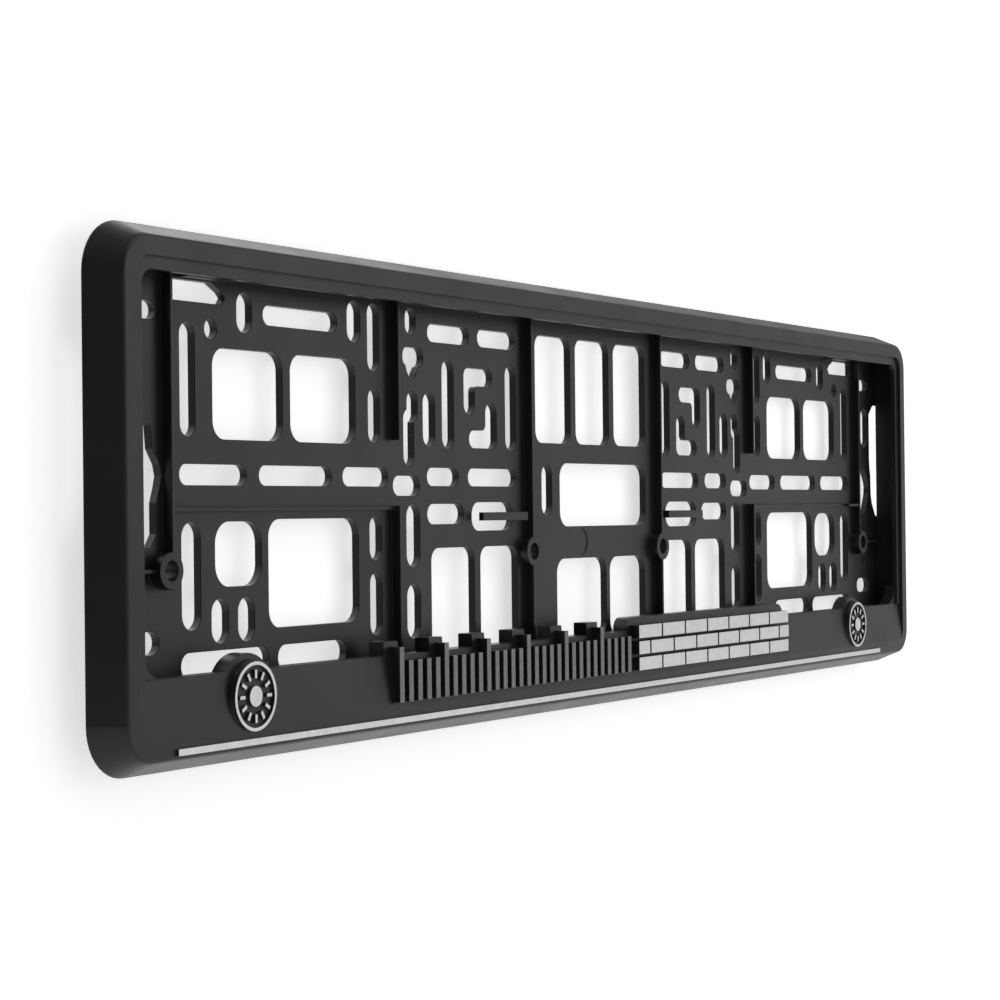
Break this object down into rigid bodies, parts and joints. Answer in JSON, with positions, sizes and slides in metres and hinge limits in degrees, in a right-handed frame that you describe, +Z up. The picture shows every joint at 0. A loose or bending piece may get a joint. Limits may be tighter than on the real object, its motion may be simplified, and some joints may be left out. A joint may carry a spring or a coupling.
{
  "type": "number plate holder",
  "caption": "Slim black moulded holder that frames a long number plate, with a slotted back panel, screw bosses and a raised silver decoration on its lower strip.",
  "frame": {"origin": "midway between the two inner screw holes, on the rear plane that lies on the car", "axes": "+X along the holder to the right as seen from the front, +Y backward into the car, +Z up"},
  "size_m": [0.536, 0.0162, 0.14],
  "materials": {
    "black_moulding": "satin black moulded plastic with a fine grain",
    "grey_foil": "dark grey foil stamped on the raised fins",
    "silver_foil": "silver foil stamped on the raised faces"
  },
  "bodies": {
    "root": {"holder": "black_moulding", "foil_fins": "grey_foil", "foil_blocks": "silver_foil", "foil_line": "silver_foil", "foil_badge_left": "silver_foil", "foil_badge_right": "silver_foil"}
  },
  "joints": []
}
